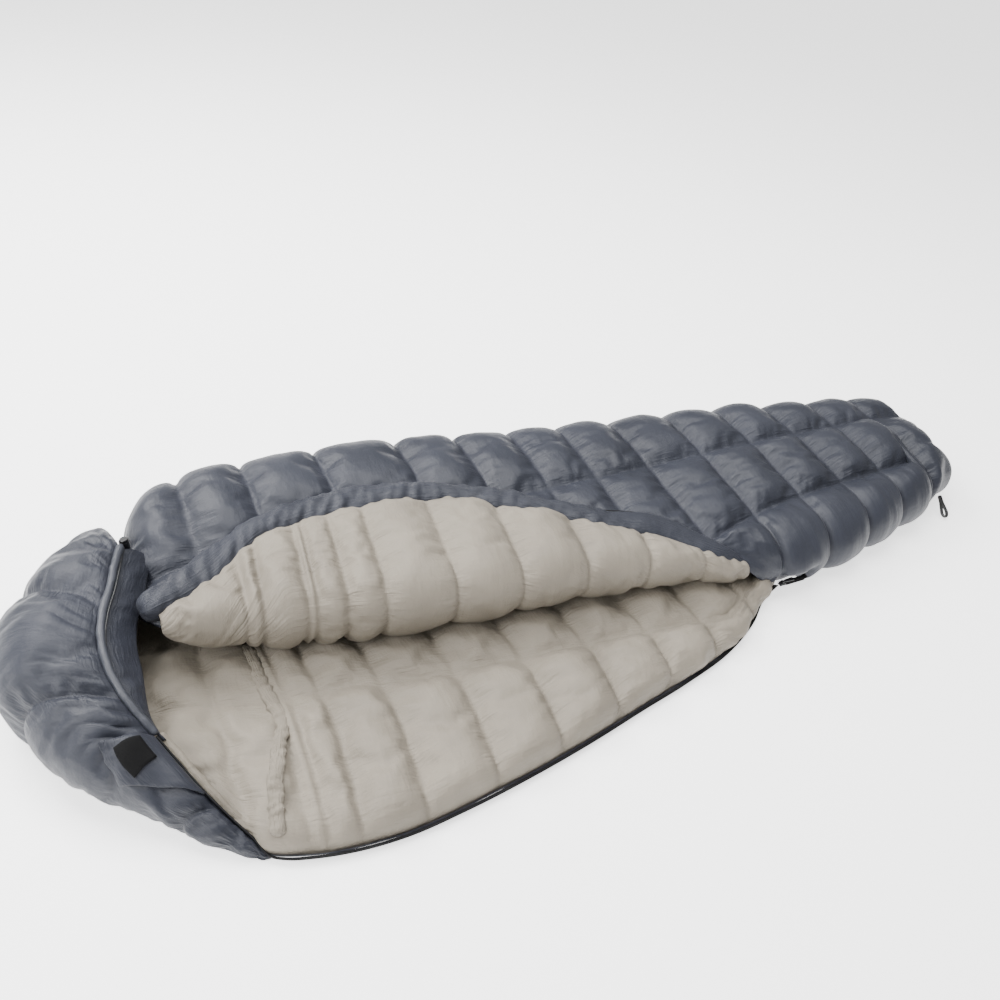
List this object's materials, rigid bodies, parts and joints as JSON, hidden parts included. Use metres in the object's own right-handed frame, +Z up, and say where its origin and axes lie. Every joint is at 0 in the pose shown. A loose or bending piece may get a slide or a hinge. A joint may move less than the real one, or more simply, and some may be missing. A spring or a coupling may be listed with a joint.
{
  "type": "mummy sleeping bag",
  "caption": "Tapered quilted sleeping bag with a drawcord hood and a side zip, lying open with its top quilt folded back over itself.",
  "frame": {"origin": "on the floor, on the bag's centre line at the middle of its length", "axes": "+X from the hood to the foot, -Y the zip side, +Z up"},
  "size_m": [2.096, 0.8383, 0.1955],
  "materials": {
    "shell_cloth": "dark slate nylon taffeta with a satin sheen",
    "lining_cloth": "warm grey-beige soft taffeta, matt",
    "down_fill": "loose down, hidden inside the quilt",
    "rim_piping": "shell cloth sewn as a piped channel",
    "zip_tape": "black woven tape with a nylon coil",
    "hook_and_loop": "black hook and loop tape, matt",
    "black_webbing": "black woven webbing and cord",
    "black_plastic": "black gloss moulding",
    "spring_steel": "bright spring wire"
  },
  "bodies": {
    "bag": {"underside_shell": "shell_cloth", "underside_down_1": "down_fill", "underside_down_2": "down_fill", "underside_down_3": "down_fill", "underside_down_4": "down_fill", "underside_down_5": "down_fill", "underside_down_6": "down_fill", "underside_lining": "lining_cloth", "hood_floor_lining": "lining_cloth", "torso_side_down_1": "down_fill", "torso_middle_down_1": "down_fill", "torso_side_down_2": "down_fill", "torso_middle_down_2": "down_fill", "torso_side_down_3": "down_fill", "torso_middle_down_3": "down_fill", "torso_shell": "shell_cloth", "torso_lining": "lining_cloth", "foot_side_down_1": "down_fill", "foot_middle_down_1": "down_fill", "foot_side_down_2": "down_fill", "foot_middle_down_2": "down_fill", "foot_near_down_1": "down_fill", "foot_near_down_2": "down_fill", "foot_shell": "shell_cloth", "foot_lining": "lining_cloth", "foot_end_down": "down_fill", "foot_end_shell": "shell_cloth", "hood_down_1": "down_fill", "hood_down_2": "down_fill", "hood_down_3": "down_fill", "hood_down_4": "down_fill", "hood_shell": "shell_cloth", "hood_lining": "lining_cloth", "rim_channel": "rim_piping", "hood_drawcord": "black_webbing", "hood_facing": "shell_cloth", "cord_lock_barrel": "black_plastic", "cord_lock_spring": "spring_steel", "neck_band": "lining_cloth", "zip_tape": "zip_tape", "zip_coil": "zip_tape", "closed_zip_near": "zip_tape", "closed_zip_far": "zip_tape", "bottom_stop": "black_plastic"},
    "flap": {"flap_down_1": "down_fill", "flap_down_2": "down_fill", "flap_down_3": "down_fill", "flap_shell": "shell_cloth", "flap_lining": "lining_cloth", "draft_tube": "shell_cloth", "flap_zip_tape": "zip_tape", "flap_zip_coil": "zip_tape", "flap_loop_patch": "hook_and_loop", "flap_neck_band": "lining_cloth"},
    "slider": {"slider_body": "black_plastic"},
    "puller": {"slider_puller": "black_plastic"},
    "lock_button": {"cord_lock_button": "black_plastic"},
    "tab": {"closure_tab": "shell_cloth", "hook_patch": "hook_and_loop"},
    "loop": {"foot_loop": "black_webbing"}
  },
  "joints": [
    {"name": "flap_fold", "type": "hinge", "parent": "bag", "child": "flap", "pos_m": [-0.825, -0.112, 0.129], "axis": [0.9926, -0.1212, 0], "range_deg": [0, 182]},
    {"name": "slider_travel", "type": "slide", "parent": "bag", "child": "slider", "axis": [1, 0, 0], "range_m": [0, 0.05]},
    {"name": "puller_flip", "type": "hinge", "parent": "slider", "child": "puller", "pos_m": [0.387, -0.274, 0.0472], "axis": [0, -1, 0], "range_deg": [0, 150]},
    {"name": "lock_press", "type": "slide", "parent": "bag", "child": "lock_button", "axis": [0, 0, -1], "range_m": [0, 0.003], "stiffness_N_per_m": 400, "springref_m": -0.001, "deforming": ["cord_lock_spring"]},
    {"name": "tab_lift", "type": "hinge", "parent": "bag", "child": "tab", "pos_m": [-0.8762, -0.27163, 0.11538], "axis": [-0.6315, 0.7286, 0.2652], "range_deg": [0, 120]},
    {"name": "loop_swing", "type": "hinge", "parent": "bag", "child": "loop", "pos_m": [0.977, -0.1574, 0.0427], "axis": [-1, 0, 0], "range_deg": [0, 100]}
  ]
}
